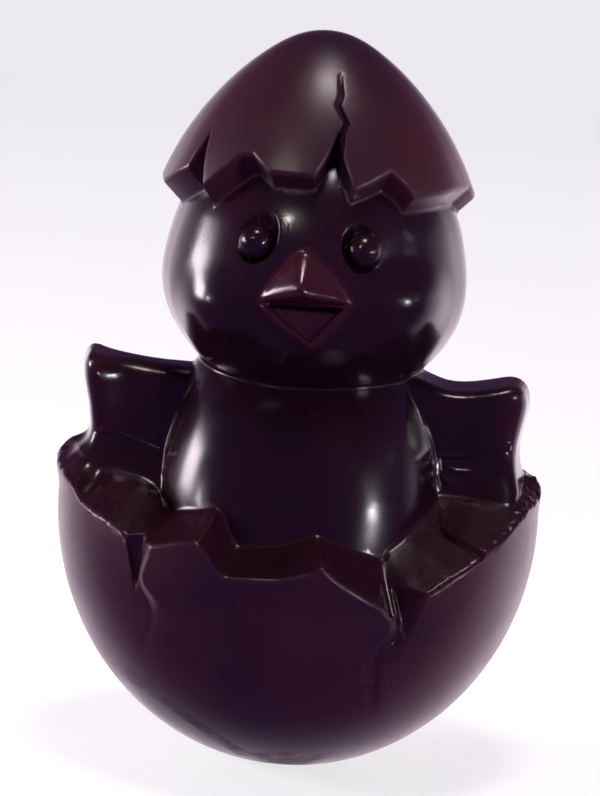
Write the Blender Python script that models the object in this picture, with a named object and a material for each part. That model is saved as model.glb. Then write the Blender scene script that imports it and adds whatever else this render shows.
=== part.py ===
"""Moulded dark chocolate chick hatching from a cracked egg: one solid piece on a small flat spot."""

import math

import bmesh
import bpy

# The figure is drawn in millimetres, with the front towards -Y, and scaled to metres at the end.
METRES = 0.001

# Driving sizes
CAP_TOP = 149.9  # apex of the eggshell cap above the table
CAP_RIM_DROP = 31.8  # from the apex down to the cap's side tips
CAP_RIM_RADIUS = 32.0
CAP_DEPTH = 0.88  # front-to-back size over side-to-side size
BOWL_CENTRE = (0.0, 0.0, 52.2)
BOWL_RADII = (49.2, 44.3, 53.3)
BOWL_TOP = 74.0  # where the uncut bowl is closed, above every point of its rim
PLATE_LIFT = (0.0, -1.2, 1.2)  # how far the cracked front plate is pushed out
SKULL_CENTRE = (0.0, 0.0, 103.0)
SKULL_RADII = (30.8, 28.2, 29.6)
CHEEK_CENTRE = (5.0, -2.0, 98.0)
CHEEK_RADII = (25.7, 25.6, 20.0)
TORSO_PROFILE = (  # half width, half depth and height
    (0.0, 0.0, 18.0),
    (19.0, 20.0, 24.0),
    (26.0, 28.5, 35.0),
    (29.4, 32.5, 46.0),
    (29.6, 32.8, 54.0),
    (28.8, 31.4, 60.5),
    (27.0, 28.6, 67.5),
    (24.6, 24.2, 74.0),
    (22.8, 20.0, 79.0),
    (20.6, 16.6, 83.0),
    (15.0, 13.0, 88.0),
    (0.0, 0.0, 91.0),
)
SIDE_BAND = (1.2, 0.76)  # growth sideways in mm and share of the depth, of the band beside the breast
EYE_X, EYE_Z = 10.5, 110.9
SOCKET_RADII = (4.4, 2.6, 5.7)
EYEBALL_Z, EYEBALL_RADIUS = 109.1, 3.5
GLINT_RADIUS = 0.9

# Steps round and up the main forms
AROUND = 44
UP = 20

# Outer edge of the broken bowl rim, from the left side round the front to the right side:
# x and z on the bowl, then the x, y, z where the rim face ends against the chick.
FRONT_RIM = (
    ((-49.6, 62.4), (-45.6, -1.0, 63.4)),
    ((-49.0, 61.6), (-43.6, -4.0, 62.0)),
    ((-47.8, 59.6), (-42.0, -7.5, 59.8)),
    ((-44.6, 58.0), (-40.4, -11.0, 57.4)),
    ((-42.5, 55.2), (-37.4, -13.5, 57.8)),
    ((-37.7, 53.9), (-33.6, -16.0, 59.0)),
    ((-34.3, 52.4), (-31.0, -17.0, 60.0)),
    ((-31.6, 50.6), (-28.8, -18.0, 60.4)),
    ((-26.8, 50.0), (-25.8, -16.0, 54.4)),
    ((-20.6, 52.7), (-19.8, -27.0, 55.6)),
    ((-17.2, 53.2), (-14.2, -29.0, 56.6)),
    ((-13.5, 48.5), (-12.0, -30.0, 52.6)),
    ((-11.4, 46.8), (-10.2, -31.0, 50.0)),
    ((-0.9, 47.4), (-1.9, -32.0, 51.0)),
    ((5.4, 49.2), (3.6, -32.0, 52.8)),
    ((7.4, 50.6), (5.4, -32.0, 53.6)),
    ((10.2, 48.1), (8.6, -32.0, 52.0)),
    ((14.8, 45.3), (13.2, -31.0, 50.2)),
    ((19.2, 42.4), (18.0, -29.5, 48.0)),
    ((21.4, 38.4), (20.2, -31.0, 45.0)),
    ((24.0, 41.0), (21.4, -29.0, 48.0)),
    ((26.9, 43.8), (23.0, -22.0, 54.6)),
    ((28.5, 44.1), (28.0, -18.0, 59.6)),
    ((36.2, 48.0), (35.6, -16.0, 58.6)),
    ((38.5, 50.1), (38.8, -15.5, 58.0)),
    ((41.1, 51.8), (41.6, -14.5, 57.4)),
    ((43.2, 53.1), (43.4, -13.5, 57.0)),
    ((45.3, 54.6), (44.2, -12.0, 56.6)),
    ((46.2, 57.0), (44.4, -9.0, 58.2)),
    ((47.8, 57.9), (44.8, -6.0, 59.6)),
    ((49.0, 58.4), (45.6, -3.0, 60.4)),
    ((49.6, 59.6), (46.2, -1.0, 61.2)),
)

# The same for the back, from the right side round to the left side.
BACK_RIM = (
    ((49.6, 59.6), (46.2, 1.0, 61.2)),
    ((45.0, 60.6), (40.0, 12.0, 62.4)),
    ((39.0, 54.0), (34.0, 18.0, 58.4)),
    ((31.0, 57.4), (27.0, 22.0, 61.0)),
    ((22.0, 51.0), (19.0, 26.0, 55.2)),
    ((13.0, 55.6), (11.0, 29.0, 59.0)),
    ((4.0, 49.6), (3.4, 30.0, 53.6)),
    ((-7.0, 54.0), (-6.0, 30.0, 57.6)),
    ((-15.0, 50.4), (-13.0, 29.0, 54.4)),
    ((-25.0, 56.2), (-22.0, 25.0, 60.0)),
    ((-34.0, 53.4), (-29.0, 20.0, 58.0)),
    ((-42.0, 60.4), (-36.0, 15.0, 62.4)),
    ((-49.6, 62.4), (-45.6, 1.0, 63.4)),
)

# Outline of the raised front plate between the two cracks, as x and z.
PLATE_OUTLINE = (
    (-26.6, 72.0),
    (-26.6, 50.1),
    (-27.9, 45.8),
    (-28.5, 43.3),
    (-27.7, 40.9),
    (-25.9, 38.3),
    (-25.1, 36.0),
    (-25.5, 33.3),
    (-26.7, 29.2),
    (-22.0, 20.0),
    (-8.0, 14.0),
    (10.0, 14.0),
    (18.4, 20.5),
    (18.3, 30.2),
    (18.8, 31.9),
    (21.9, 34.7),
    (21.6, 38.3),
    (21.0, 72.0),
)

# Cracks that open through the bowl rim, each the hull of its corner points.
LEFT_CRACK = (
    (-36.0, -50.0, 51.0),
    (-24.0, -50.0, 52.0),
    (-36.0, -50.0, 66.0),
    (-24.0, -50.0, 66.0),
    (-29.8, -50.0, 39.2),
    (-29.0, -50.0, 39.2),
    (-29.3, -33.0, 39.6),
    (-29.6, -27.0, 54.0),
    (-29.6, -27.0, 66.0),
)
RIGHT_CRACK = (
    (18.8, -26.5, 49.5),
    (18.8, -26.5, 66.0),
    (22.0, -35.6, 35.4),
    (20.4, -48.0, 44.0),
    (21.8, -48.0, 35.0),
    (18.0, -48.0, 66.0),
    (30.8, -41.3, 44.2),
    (30.8, -41.3, 66.0),
    (24.0, -41.0, 35.0),
)
# Fine cracks that run on down the bowl: x, z, width and depth along each line.
LEFT_CRACK_END = (
    (-29.2, 42.0, 1.0, 1.0),
    (-27.9, 40.6, 1.0, 1.0),
    (-25.9, 38.3, 0.9, 0.8),
    (-25.1, 36.0, 0.8, 0.7),
    (-25.5, 33.3, 0.6, 0.5),
    (-26.5, 30.2, 0.1, 0.1),
)
RIGHT_CRACK_END = (
    (22.2, 36.4, 1.4, 1.2),
    (21.2, 34.2, 1.2, 1.0),
    (18.9, 32.0, 1.0, 0.8),
    (18.3, 30.0, 0.9, 0.7),
    (18.3, 25.0, 0.7, 0.5),
    (18.4, 22.0, 0.1, 0.1),
)
FACET_STEP = ((29.4, 54.3, 0.4, 0.3), (31.4, 53.5, 1.4, 1.1), (35.0, 51.9, 1.2, 1.0), (39.4, 49.9, 1.2, 1.0))

# Broken edge of the cap: degrees round from the front, and height.
CAP_EDGE = (
    (-90.0, 118.8),
    (-78.0, 118.4),
    (-59.0, 121.9),
    (-54.4, 129.3),
    (-44.5, 119.2),
    (-30.5, 126.4),
    (-26.0, 126.6),
    (-16.8, 123.4),
    (-7.9, 123.3),
    (0.6, 123.2),
    (5.6, 127.5),
    (10.0, 132.2),
    (11.0, 132.0),
    (11.6, 127.1),
    (15.8, 120.9),
    (31.3, 124.7),
    (36.6, 122.4),
    (39.7, 120.1),
    (67.1, 121.1),
    (83.0, 120.8),
    (92.0, 118.4),
    (106.0, 121.6),
    (120.0, 118.6),
    (138.0, 125.4),
    (152.0, 119.4),
    (168.0, 124.0),
    (184.0, 119.8),
    (200.0, 126.0),
    (214.0, 121.0),
    (230.0, 122.6),
    (246.0, 118.8),
    (258.0, 121.4),
)
CAP_FACE_SLOPE = 1.2  # drop of the broken face for each millimetre inwards

# Crack up the front of the cap: x, z, width and depth along its line.
CAP_CRACK = (
    (5.2, 130.5, 1.9, 1.5),
    (5.0, 134.2, 1.4, 1.2),
    (3.5, 137.3, 1.3, 1.1),
    (3.9, 139.6, 0.9, 0.7),
    (3.3, 141.6, 0.2, 0.2),
)

# Wing stations from the body out to the tip: x, top, front at the top and at the base, back.
WING_STATIONS = (
    (14.0, 79.5, 13.0, 21.0, 14.0),
    (21.0, 80.6, 11.0, 19.0, 12.0),
    (25.0, 80.6, 8.6, 17.0, 10.5),
    (29.0, 80.5, 6.0, 15.0, 9.5),
    (33.0, 80.9, 5.0, 13.6, 9.0),
    (37.0, 81.7, 5.6, 12.8, 9.0),
    (40.2, 82.7, 8.2, 12.2, 8.6),
    (42.6, 83.1, 9.6, 11.6, 8.0),
    (44.4, 82.0, 8.4, 10.0, 6.4),
    (45.5, 79.6, 4.6, 6.0, 3.6),
    (45.9, 78.0, 1.0, 1.6, 1.0),
)
WING_WAIST = (69.4, 3.2, 0.045)  # height and spread of the waist in the wing's outer edge, and its share
WING_TIP_LIFT = 0.6  # the left tip is this much higher, and the right one this much lower
WING_BASE = 50.0
FEATHER_STEPS = (67.4, 61.6)  # heights where one feather laps over the next
FEATHER_LAP = 0.9


def new_object(name, points, faces):
    mesh = bpy.data.meshes.new(name)
    mesh.from_pydata(points, [], faces)
    work = bmesh.new()
    work.from_mesh(mesh)
    bmesh.ops.recalc_face_normals(work, faces=work.faces)
    work.to_mesh(mesh)
    work.free()
    obj = bpy.data.objects.new(name, mesh)
    bpy.context.scene.collection.objects.link(obj)
    return obj


def rings_object(name, rings):
    """Closed skin over rings of equal length, with a flat end on the first and last."""
    size = len(rings[0])
    points = [point for ring in rings for point in ring]
    faces = []
    for level in range(len(rings) - 1):
        for step in range(size):
            a = level * size + step
            b = level * size + (step + 1) % size
            faces.append((a, b, b + size, a + size))
    faces.append(tuple(range(size)))
    faces.append(tuple(len(points) - size + step for step in range(size)))
    return new_object(name, points, faces)


def turned(name, profile, centre=(0.0, 0.0), around=AROUND):
    """Round form from (half width, half depth, height) steps. An end of no width is a single point."""
    points = []
    rings = []
    for half_width, half_depth, height in profile:
        if half_width == 0.0:
            rings.append([len(points)] * around)
            points.append((centre[0], centre[1], height))
            continue
        rings.append(list(range(len(points), len(points) + around)))
        for step in range(around):
            turn = math.tau * (step + 0.5) / around
            x = centre[0] + half_width * math.sin(turn)
            y = centre[1] - half_depth * math.cos(turn)
            points.append((x, y, height))
    faces = []
    for low, high in zip(rings, rings[1:]):
        for step in range(around):
            corners = (low[step], low[step - 1], high[step - 1], high[step])
            faces.append(tuple(dict.fromkeys(corners)))
    for ring in (rings[0], rings[-1]):
        if ring[0] != ring[-1]:
            faces.append(tuple(ring))
    return new_object(name, points, faces)


def smooth_profile(profile, between=2):
    """The same profile with steps added on a curve through the given ones."""
    smooth = []
    for index in range(len(profile) - 1):
        before = profile[max(index - 1, 0)]
        start, end = profile[index], profile[index + 1]
        after = profile[min(index + 2, len(profile) - 1)]
        for step in range(between):
            t = step / between
            point = []
            for a, b, c, d in zip(before, start, end, after):
                bend = (2 * a - 5 * b + 4 * c - d) * t + (3 * b - a - 3 * c + d) * t**2
                point.append(max(b + 0.5 * t * (c - a + bend), 0.0))
            smooth.append(tuple(point))
    smooth.append(profile[-1])
    return smooth


def ellipsoid(name, centre, radii, around=AROUND, up=UP):
    profile = []
    for step in range(up + 1):
        turn = math.pi * step / up
        share = math.sin(turn) if 0 < step < up else 0.0
        height = centre[2] - radii[2] * math.cos(turn)
        profile.append((radii[0] * share, radii[1] * share, height))
    return turned(name, profile, centre[:2], around)


def hull(name, points):
    work = bmesh.new()
    for point in points:
        work.verts.new(point)
    made = bmesh.ops.convex_hull(work, input=work.verts)
    loose = [item for item in made["geom_interior"] if isinstance(item, bmesh.types.BMVert)]
    bmesh.ops.delete(work, geom=loose, context="VERTS")
    bmesh.ops.recalc_face_normals(work, faces=work.faces)
    mesh = bpy.data.meshes.new(name)
    work.to_mesh(mesh)
    work.free()
    obj = bpy.data.objects.new(name, mesh)
    bpy.context.scene.collection.objects.link(obj)
    return obj


def combine(body, tool, operation):
    modifier = body.modifiers.new(operation.lower(), "BOOLEAN")
    modifier.operation = operation
    modifier.solver = "EXACT"
    modifier.object = tool
    graph = bpy.context.evaluated_depsgraph_get()
    mesh = bpy.data.meshes.new_from_object(body.evaluated_get(graph))
    body.modifiers.clear()
    body.data = mesh
    bpy.data.objects.remove(tool)
    return body


def bowl_front(x, z):
    """Distance in front of the middle plane at which the bowl's skin passes x and z."""
    across = x / BOWL_RADII[0]
    height = (z - BOWL_CENTRE[2]) / BOWL_RADII[2]
    return BOWL_RADII[1] * math.sqrt(max(0.0, 1.0 - across**2 - height**2))


def facet_front(x, z):
    """The same for the sloping broken face on the right of the rim."""
    return 35.4 - (0.118 * (x - 28.5) + 0.737 * (z - 44.1)) / 0.665


def bowl_skin():
    """The uncut bowl, an egg's blunt end with a flat spot at the foot."""
    low = math.acos(BOWL_CENTRE[2] / BOWL_RADII[2])
    high = math.pi - math.acos((BOWL_TOP - BOWL_CENTRE[2]) / BOWL_RADII[2])
    profile = []
    for step in range(UP + 1):
        turn = low + (high - low) * step / UP
        height = BOWL_CENTRE[2] - BOWL_RADII[2] * math.cos(turn)
        share = math.sin(turn)
        profile.append((BOWL_RADII[0] * share, BOWL_RADII[1] * share, height))
    return turned("bowl", profile)


def prism(name, outline, front, back):
    rings = [[(x, y, z) for x, z in outline] for y in (front, back)]
    return rings_object(name, rings)


def raised_plate():
    plate = bowl_skin()
    plate.name = "plate"
    for vertex in plate.data.vertices:
        vertex.co.y += PLATE_LIFT[1]
        vertex.co.z += PLATE_LIFT[2]
    return combine(plate, prism("plate_outline", PLATE_OUTLINE, -60.0, -12.0), "INTERSECT")


def rim_cutter(name, stations, side):
    """Everything above the broken rim, on one side of the middle plane: side is -1 in front, 1 behind."""
    ceiling = 90.0
    rings = []
    for (x, z), inner in stations:
        outer = (x, side * bowl_front(x, z), z)
        far = [a + 0.6 * (a - b) for a, b in zip(outer, inner)]
        far[1] = outer[1] + side * 12.0
        middle = (inner[0], -side * 0.6, inner[2] + 1.0)
        rings.append([far, inner, middle, (middle[0], middle[1], ceiling), (far[0], far[1], ceiling)])
    for end, step in ((0, -1), (-1, 1)):
        away = 14.0 * (1 if stations[end][0][0] > 0 else -1)
        moved = [(x + away, y, z) for x, y, z in rings[end]]
        rings.insert(0 if step < 0 else len(rings), moved)
    return rings_object(name, rings)


def groove_cutter(name, line, surface_y):
    """Tapered V cut along a line on a front surface; line holds x, z, width and depth."""
    rings = []
    for index, (x, z, width, depth) in enumerate(line):
        before = line[max(index - 1, 0)]
        after = line[min(index + 1, len(line) - 1)]
        along = math.hypot(after[0] - before[0], after[1] - before[1])
        across = ((after[1] - before[1]) / along, -(after[0] - before[0]) / along)
        skin = -surface_y(x, z)
        proud = 1.5
        half = 0.5 * width * (depth + proud) / depth
        left = (x - half * across[0], skin - proud, z - half * across[1])
        right = (x + half * across[0], skin - proud, z + half * across[1])
        rings.append([left, (x, skin + depth, z), right])
    return rings_object(name, rings)


def egg_bowl():
    bowl = combine(bowl_skin(), raised_plate(), "UNION")
    combine(bowl, rim_cutter("front_rim", FRONT_RIM, -1), "DIFFERENCE")
    combine(bowl, rim_cutter("back_rim", BACK_RIM, 1), "DIFFERENCE")
    combine(bowl, hull("left_crack", LEFT_CRACK), "DIFFERENCE")
    combine(bowl, hull("right_crack", RIGHT_CRACK), "DIFFERENCE")
    combine(bowl, groove_cutter("left_crack_end", LEFT_CRACK_END, bowl_front), "DIFFERENCE")
    combine(bowl, groove_cutter("right_crack_end", RIGHT_CRACK_END, bowl_front), "DIFFERENCE")
    combine(bowl, groove_cutter("facet_step", FACET_STEP, facet_front), "DIFFERENCE")
    return bowl


def cap_radius(height):
    """Radius of the pointed end of the egg at a height above the table."""
    drop = (CAP_TOP - height) / CAP_RIM_DROP
    swell = 1.0 + 0.15 * drop * (1.0 - drop)
    return CAP_RIM_RADIUS * math.sqrt(max(drop, 0.0)) * swell


def cap_front(x, z):
    return CAP_DEPTH * math.sqrt(max(0.0, cap_radius(z) ** 2 - x**2))


def cap_cutter():
    """Everything below the cap's broken edge, whose face slopes down towards the head."""
    out, inward, floor = 10.0, 14.0, 84.0
    rings = [[], [], [], []]
    for degrees, height in CAP_EDGE:
        turn = math.radians(degrees)
        sine, cosine = math.sin(turn), -CAP_DEPTH * math.cos(turn)
        radius = cap_radius(height)
        far = radius + out
        near = radius - inward
        rings[0].append((far * sine, far * cosine, floor))
        rings[1].append((far * sine, far * cosine, height + CAP_FACE_SLOPE * out))
        rings[2].append((near * sine, near * cosine, height - CAP_FACE_SLOPE * inward))
        rings[3].append((near * sine, near * cosine, floor))
    size = len(CAP_EDGE)
    points = [point for ring in rings for point in ring]
    faces = []
    for level in range(4):
        for step in range(size):
            a = level * size + step
            b = level * size + (step + 1) % size
            c = (level + 1) % 4 * size + (step + 1) % size
            d = (level + 1) % 4 * size + step
            faces.append((a, b, c, d))
    return new_object("cap_cutter", points, faces)


def egg_cap():
    profile = [(0.0, 0.0, CAP_TOP)]
    steps = 14
    for step in range(1, steps + 1):
        height = CAP_TOP - 38.0 * (step / steps) ** 1.6
        radius = cap_radius(height)
        profile.append((radius, CAP_DEPTH * radius, height))
    profile.reverse()
    cap = turned("cap", profile)
    combine(cap, cap_cutter(), "DIFFERENCE")
    combine(cap, groove_cutter("cap_crack", CAP_CRACK, cap_front), "DIFFERENCE")
    return cap


def skull_front(x, z):
    across = (x - SKULL_CENTRE[0]) / SKULL_RADII[0]
    height = (z - SKULL_CENTRE[2]) / SKULL_RADII[2]
    return SKULL_RADII[1] * math.sqrt(max(0.0, 1.0 - across**2 - height**2))


def on_face(x, z, proud):
    return (x, -skull_front(x, z) - proud, z)


def upper_beak():
    corners = (
        on_face(-0.4, 109.2, 0.4),
        on_face(-8.9, 99.0, -0.4),
        on_face(8.9, 98.8, -0.4),
        on_face(-6.5, 98.2, 0.6),
        on_face(7.4, 98.2, 0.6),
        (-2.6, -34.2, 101.6),
        (3.6, -34.2, 101.6),
        (-3.0, -33.4, 99.0),
        (4.0, -33.4, 98.8),
        (-0.4, -21.0, 109.6),
        (-8.0, -20.0, 98.6),
        (8.0, -20.0, 98.6),
    )
    return hull("upper_beak", corners)


def lower_beak():
    corners = (
        on_face(-8.0, 96.9, 0.9),
        on_face(8.2, 96.9, 0.9),
        on_face(-8.0, 95.6, -1.0),
        on_face(8.2, 95.6, -1.0),
        (-2.6, -31.2, 94.6),
        (3.0, -31.2, 94.6),
        on_face(1.0, 88.3, 1.8),
        on_face(1.0, 87.4, -1.0),
        (-7.0, -18.0, 96.6),
        (7.0, -18.0, 96.6),
    )
    return hull("lower_beak", corners)


def mouth_cutter():
    corners = (
        (-6.6, -36.0, 98.4),
        (7.2, -36.0, 98.2),
        (-6.6, -36.0, 95.0),
        (7.2, -36.0, 95.0),
        (-6.2, -23.6, 97.8),
        (6.8, -23.6, 97.8),
        (-5.6, -25.6, 94.8),
        (6.2, -25.6, 94.8),
        (0.9, -34.0, 89.8),
        (0.9, -25.8, 90.2),
    )
    return hull("mouth", corners)


def eye(head, side):
    x = side * EYE_X
    socket_y = -skull_front(x, EYE_Z) - 0.2
    socket = ellipsoid("socket", (x, socket_y, EYE_Z), SOCKET_RADII, 24, 14)
    combine(head, socket, "DIFFERENCE")
    ball_y = -skull_front(x, EYEBALL_Z) + 1.7
    ball = ellipsoid("eyeball", (x, ball_y, EYEBALL_Z), (EYEBALL_RADIUS,) * 3, 20, 12)
    combine(head, ball, "UNION")
    return head


def chick_head():
    head = ellipsoid("head", SKULL_CENTRE, SKULL_RADII)
    for side in (-1, 1):
        centre = (side * CHEEK_CENTRE[0], CHEEK_CENTRE[1], CHEEK_CENTRE[2])
        combine(head, ellipsoid("cheek", centre, CHEEK_RADII, 32, 18), "UNION")
    for side in (-1, 1):
        eye(head, side)
    combine(head, upper_beak(), "UNION")
    combine(head, lower_beak(), "UNION")
    combine(head, mouth_cutter(), "DIFFERENCE")
    glint_y = -skull_front(EYE_X, 114.0) + 1.9
    glint = ellipsoid("glint", (-EYE_X, glint_y, 114.0), (GLINT_RADIUS,) * 3, 10, 6)
    combine(head, glint, "UNION")
    return head


def feather_lap(height):
    """How far the feathers stand in front of the wing's plane at a height."""
    return sum(FEATHER_LAP for step in FEATHER_STEPS if height > step)


def wing_reach(height):
    """Share of its full reach that the wing has at a height."""
    middle, spread, share = WING_WAIST
    return 1.0 - share * math.exp(-(((height - middle) / spread) ** 2))


def wing_ring(side, station):
    x, top, front_top, front_base, back = station
    top -= side * WING_TIP_LIFT * max(0.0, x - 30.0) / 15.0
    rise = top - WING_BASE
    front_heights = [WING_BASE, 61.3, 61.9, 67.1, 67.7, 72.0, 76.0, 79.0]
    ring = []
    for height in front_heights:
        height = min(height, top - 2.2)
        share = (height - WING_BASE) / rise
        y = -(front_base + (front_top - front_base) * share) - feather_lap(height) + 1.2
        ring.append((side * x * wing_reach(height), y, height))
    ring.append((side * x, -0.80 * front_top, top - 0.7))
    ring.append((side * x, -0.35 * front_top, top))
    ring.append((side * x, 0.35 * back, top))
    ring.append((side * x, 0.80 * back, top - 0.8))
    ring.append((side * x, back, top - 3.0))
    ring.append((side * x * wing_reach(72.0), 1.1 * back, 72.0))
    ring.append((side * x * wing_reach(66.0), 1.15 * back, 66.0))
    ring.append((side * x, 1.25 * back, WING_BASE))
    return ring


def wing(side):
    rings = [wing_ring(side, station) for station in WING_STATIONS]
    return rings_object("wing", rings)


def chick_body():
    profile = smooth_profile(TORSO_PROFILE)
    body = turned("body", profile)
    growth, depth_share = SIDE_BAND
    band = [(wide + growth if wide else 0.0, deep * depth_share, height) for wide, deep, height in profile]
    combine(body, turned("side_band", band), "UNION")
    for side in (-1, 1):
        combine(body, wing(side), "UNION")
    return body


def chocolate_material():
    material = bpy.data.materials.new("dark_chocolate")
    material.use_nodes = True
    shader = material.node_tree.nodes["Principled BSDF"]
    shader.inputs["Base Color"].default_value = (0.030, 0.009, 0.012, 1.0)
    shader.inputs["Roughness"].default_value = 0.22
    return material


def build():
    for old in list(bpy.data.objects):
        bpy.data.objects.remove(old)
    chick = egg_bowl()
    combine(chick, chick_body(), "UNION")
    combine(chick, chick_head(), "UNION")
    combine(chick, egg_cap(), "UNION")
    chick.name = "chocolate_chick"
    for vertex in chick.data.vertices:
        vertex.co *= METRES
    chick.data.materials.clear()
    chick.data.materials.append(chocolate_material())
    chick.data.shade_smooth()
    chick.data.set_sharp_from_angle(angle=math.radians(32.0))


build()
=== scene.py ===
"""Dressed view of the moulded dark chocolate chick that hatches from a cracked egg.

The figure's skin is worked out as one distance field in millimetres, with the front towards -Y,
meshed on a fine grid, and shown in place of the plain CAD solid.
"""

import math

import bmesh
import bpy
import numpy as np
from mathutils import Matrix, Vector


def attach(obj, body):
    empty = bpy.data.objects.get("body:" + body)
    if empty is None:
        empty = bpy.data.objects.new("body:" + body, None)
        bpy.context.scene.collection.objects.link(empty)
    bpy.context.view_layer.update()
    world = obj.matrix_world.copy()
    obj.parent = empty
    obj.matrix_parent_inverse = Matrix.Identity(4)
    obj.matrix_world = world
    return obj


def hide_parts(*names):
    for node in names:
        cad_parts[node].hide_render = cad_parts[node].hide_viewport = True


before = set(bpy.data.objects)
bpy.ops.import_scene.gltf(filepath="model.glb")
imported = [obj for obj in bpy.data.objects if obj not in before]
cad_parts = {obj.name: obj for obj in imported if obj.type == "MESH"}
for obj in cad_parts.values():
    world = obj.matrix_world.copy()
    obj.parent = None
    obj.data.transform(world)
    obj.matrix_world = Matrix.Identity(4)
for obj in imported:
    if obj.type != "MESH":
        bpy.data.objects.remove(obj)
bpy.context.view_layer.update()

METRES = 0.001
GRID_STEP = 0.4  # mm between samples of the field
MOST_TRIANGLES = 190_000
IMAGE_WIDTH, IMAGE_HEIGHT = 600, 796

# ---------------------------------------------------------------- sizes in mm

CAP_TOP = 149.9
CAP_RIM_DROP = 31.8
CAP_RIM_RADIUS = 32.0
CAP_DEPTH = 0.88
BOWL_CENTRE = (0.0, 0.0, 52.2)
BOWL_RADII = (49.2, 44.3, 53.3)
SKULL_CENTRE = (0.5, 0.0, 103.0)
SKULL_RADII = (30.3, 28.2, 29.6)
JOWLS = (  # centre and radii
    ((-4.6, -2.0, 99.0), (25.4, 25.6, 19.2)),
    ((5.0, -2.0, 98.0), (25.7, 25.6, 20.0)),
    ((-3.0, -8.0, 92.8), (21.5, 16.5, 14.6)),
)
CHEEKS = (  # centre and radii
    ((-13.8, -15.3, 96.2), (9.5, 11.0, 7.6)),
    ((15.6, -15.6, 99.0), (10.2, 10.9, 7.6)),
)
SIDE_GROWTH = 0.6  # how much wider the head's side form is than its face form
SIDE_SHARE = 0.76  # depth of the side form over that of the face form
TORSO_PROFILE = (  # half width, half depth and height
    (26.0, 27.0, 32.0),
    (27.4, 30.0, 36.0),
    (29.4, 31.0, 46.0),
    (29.6, 30.3, 54.0),
    (28.8, 29.2, 60.5),
    (27.0, 27.2, 67.5),
    (24.6, 24.0, 74.0),
    (22.8, 19.6, 79.0),
    (20.6, 15.4, 83.0),
    (15.0, 13.0, 88.0),
    (6.0, 6.0, 92.0),
)
SIDE_BAND = (1.2, 0.76)
BELLY_SQUARE = 2.3  # 2 is an ellipse, more is squarer

# Broken rim of the bowl, from the left round the front to the right: x and z on the bowl's skin,
# then the x, y, z where the broken face ends against the chick.
FRONT_RIM = (
    ((-50.4, 61.2), (-45.8, -1.0, 63.2)),
    ((-49.2, 61.2), (-43.6, -4.0, 62.4)),
    ((-47.8, 59.6), (-42.0, -7.5, 60.4)),
    ((-44.8, 58.2), (-40.4, -11.0, 57.6)),
    ((-42.5, 55.2), (-37.4, -13.5, 57.8)),
    ((-37.7, 53.9), (-33.6, -16.0, 57.6)),
    ((-34.3, 52.6), (-31.8, -16.5, 57.8)),
    ((-31.6, 50.9), (-29.4, -17.0, 57.2)),
    ((-29.6, 50.9), (-27.4, -18.5, 55.8)),
    ((-28.4, 50.9), (-26.2, -21.0, 54.0)),
    ((-27.6, 50.7), (-25.7, -24.0, 53.0)),
    ((-23.3, 51.9), (-22.0, -25.6, 54.2)),
    ((-19.9, 53.0), (-18.4, -26.6, 55.2)),
    ((-17.2, 53.2), (-14.6, -27.8, 56.8)),
    ((-15.8, 52.0), (-13.4, -28.2, 54.6)),
    ((-13.5, 48.8), (-11.6, -28.8, 51.0)),
    ((-11.4, 46.9), (-10.0, -29.4, 49.7)),
    ((-0.9, 47.4), (-1.9, -30.0, 50.7)),
    ((5.4, 49.2), (3.6, -30.0, 52.4)),
    ((7.4, 50.6), (5.4, -30.0, 53.2)),
    ((10.2, 48.1), (8.6, -29.8, 51.6)),
    ((14.8, 45.3), (13.2, -29.0, 49.8)),
    ((19.2, 42.4), (17.6, -28.0, 48.0)),
    ((21.6, 38.6), (18.6, -27.6, 47.8)),
    ((23.2, 41.0), (19.2, -25.4, 49.6)),
    ((25.4, 42.8), (20.4, -23.8, 50.9)),
    ((27.7, 43.8), (21.8, -21.8, 52.4)),
    ((32.7, 47.0), (25.4, -17.0, 55.3)),
    ((38.0, 50.3), (28.6, -9.8, 58.9)),
    ((41.4, 52.3), (36.3, -12.5, 58.0)),
    ((43.4, 54.0), (40.8, -14.5, 57.3)),
    ((45.2, 55.9), (44.4, -15.4, 57.0)),
    ((46.2, 57.3), (44.6, -12.0, 58.6)),
    ((47.8, 58.8), (44.8, -7.0, 60.4)),
    ((49.2, 59.6), (45.4, -3.0, 61.6)),
    ((50.2, 60.0), (45.8, -1.0, 62.2)),
)
BACK_RIM = (
    ((50.2, 60.0), (45.8, 1.0, 62.2)),
    ((45.0, 60.6), (40.0, 12.0, 62.4)),
    ((39.0, 54.0), (34.0, 18.0, 58.4)),
    ((31.0, 57.4), (27.0, 22.0, 61.0)),
    ((22.0, 51.0), (19.0, 26.0, 55.2)),
    ((13.0, 55.6), (11.0, 29.0, 59.0)),
    ((4.0, 49.6), (3.4, 30.0, 53.6)),
    ((-7.0, 54.0), (-6.0, 30.0, 57.6)),
    ((-15.0, 50.4), (-13.0, 29.0, 54.4)),
    ((-25.0, 56.2), (-22.0, 25.0, 60.0)),
    ((-34.0, 53.4), (-29.0, 20.0, 58.0)),
    ((-42.0, 60.4), (-36.0, 15.0, 62.4)),
    ((-50.4, 61.2), (-45.8, 1.0, 63.2)),
)

# Raised front plate between the two cracks, as x and z.
PLATE_OUTLINE = (
    (-27.2, 72.0),
    (-27.4, 50.1),
    (-28.7, 45.8),
    (-29.1, 43.4),
    (-28.4, 41.2),
    (-26.5, 38.8),
    (-25.7, 36.0),
    (-26.0, 33.3),
    (-27.4, 29.0),
    (-28.4, 24.0),
    (-22.0, 8.0),
    (10.0, 8.0),
    (18.2, 13.0),
    (18.6, 20.5),
    (18.5, 30.2),
    (19.2, 32.4),
    (22.1, 35.0),
    (22.4, 38.3),
    (21.8, 42.4),
    (19.2, 48.9),
    (18.6, 72.0),
)
PLATE_LIFT = 1.5
PLATE_LIP = 1.3  # width of the plate's rounded edge

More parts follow.
